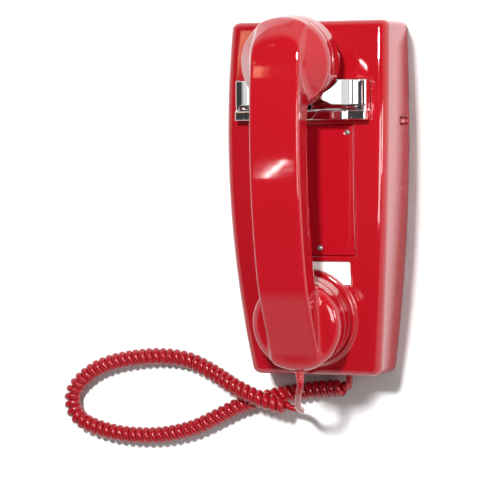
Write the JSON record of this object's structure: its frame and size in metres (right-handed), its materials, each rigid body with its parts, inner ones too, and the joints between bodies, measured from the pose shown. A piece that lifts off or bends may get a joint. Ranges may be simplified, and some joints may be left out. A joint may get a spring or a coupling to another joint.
{
  "type": "slimline wall phone",
  "caption": "Slim wall telephone with a dial-less tapered casing, chrome saddle, hung handset and curly cord.",
  "frame": {"origin": "centre of the back plate's wall face, midway between the casing's top and bottom edges", "axes": "+Y points up the wall, towards the receiver end; +Z points out of the front, away from the wall; +X is to the right as seen from the front. The phone is stored lying on its back: turn it 90 degrees about X (+Z to the room, +Y up) to hang it on a wall."},
  "size_m": [0.232, 0.2683, 0.099],
  "materials": {
    "red_plastic": "polished moulded ABS, glossy red",
    "red_cord": "extruded flexible vinyl, glossy red",
    "chrome": "polished chrome plating",
    "steel": "zinc-plated steel",
    "gong_brass": "spun brass",
    "card_stock": "matt white card",
    "clear_plastic": "clear moulded plastic",
    "circuit_board": "brown phenolic board and varnished winding",
    "black_plastic": "black moulded plastic",
    "ivory_plastic": "ivory moulded plastic"
  },
  "bodies": {
    "phone_body": {"casing": "red_plastic", "blank_plate": "red_plastic", "cord_base_lead": "red_cord", "cord_coil": "red_cord", "cord_handset_lead": "red_cord", "cradle": "chrome", "back_plate": "steel", "hook_pivot": "steel", "hook_bracket": "steel", "hook_spring": "steel", "ringer_frame": "steel", "ringer_core": "steel", "gong_screw_left": "steel", "gong_screw_right": "steel", "clapper_pivot": "steel", "volume_axle": "steel", "volume_bracket": "steel", "blank_plate_screw_1": "steel", "blank_plate_screw_2": "steel", "blank_plate_screw_3": "steel", "blank_plate_screw_4": "steel", "casing_screw_1": "steel", "casing_screw_2": "steel", "casing_screw_3": "steel", "casing_screw_4": "steel", "board_post_1": "steel", "board_post_2": "steel", "board_post_3": "steel", "board_post_4": "steel", "gong_left": "gong_brass", "gong_right": "gong_brass", "card": "card_stock", "card_window": "clear_plastic", "cord_plug": "clear_plastic", "network_board": "circuit_board", "ringer_coil": "circuit_board", "network_block": "black_plastic", "line_jack": "ivory_plastic", "handset_jack": "ivory_plastic", "contact_stack": "ivory_plastic", "capacitor_1": "ivory_plastic", "capacitor_2": "ivory_plastic"},
    "handset": {"handset_shell": "red_plastic", "receiver_cap": "red_plastic", "transmitter_cap": "red_plastic", "receiver_capsule": "steel", "transmitter_capsule": "steel", "contact_cup": "black_plastic", "handset_strain_relief": "red_plastic"},
    "hook": {"hook_lever": "chrome"},
    "bell_clapper": {"clapper": "steel"},
    "loudness_wheel": {"volume_wheel": "red_plastic"}
  },
  "joints": [
    {"name": "handset_lift", "type": "slide", "parent": "phone_body", "child": "handset", "axis": [0, 0, 1], "range_m": [0, 0.06]},
    {"name": "hook_switch", "type": "hinge", "parent": "phone_body", "child": "hook", "pos_m": [0, 0.094, 0.03], "axis": [1, 0, 0], "range_deg": [0, 9], "stiffness_Nm_per_rad": 0.02},
    {"name": "clapper_swing", "type": "hinge", "parent": "phone_body", "child": "bell_clapper", "pos_m": [0, -0.05, 0.0172], "axis": [0, 0, 1], "range_deg": [-5, 5], "stiffness_Nm_per_rad": 0.005},
    {"name": "loudness_turn", "type": "hinge", "parent": "phone_body", "child": "loudness_wheel", "pos_m": [0.0453, 0.047, 0.01], "axis": [0, 1, 0], "range_deg": [-130, 130]}
  ]
}
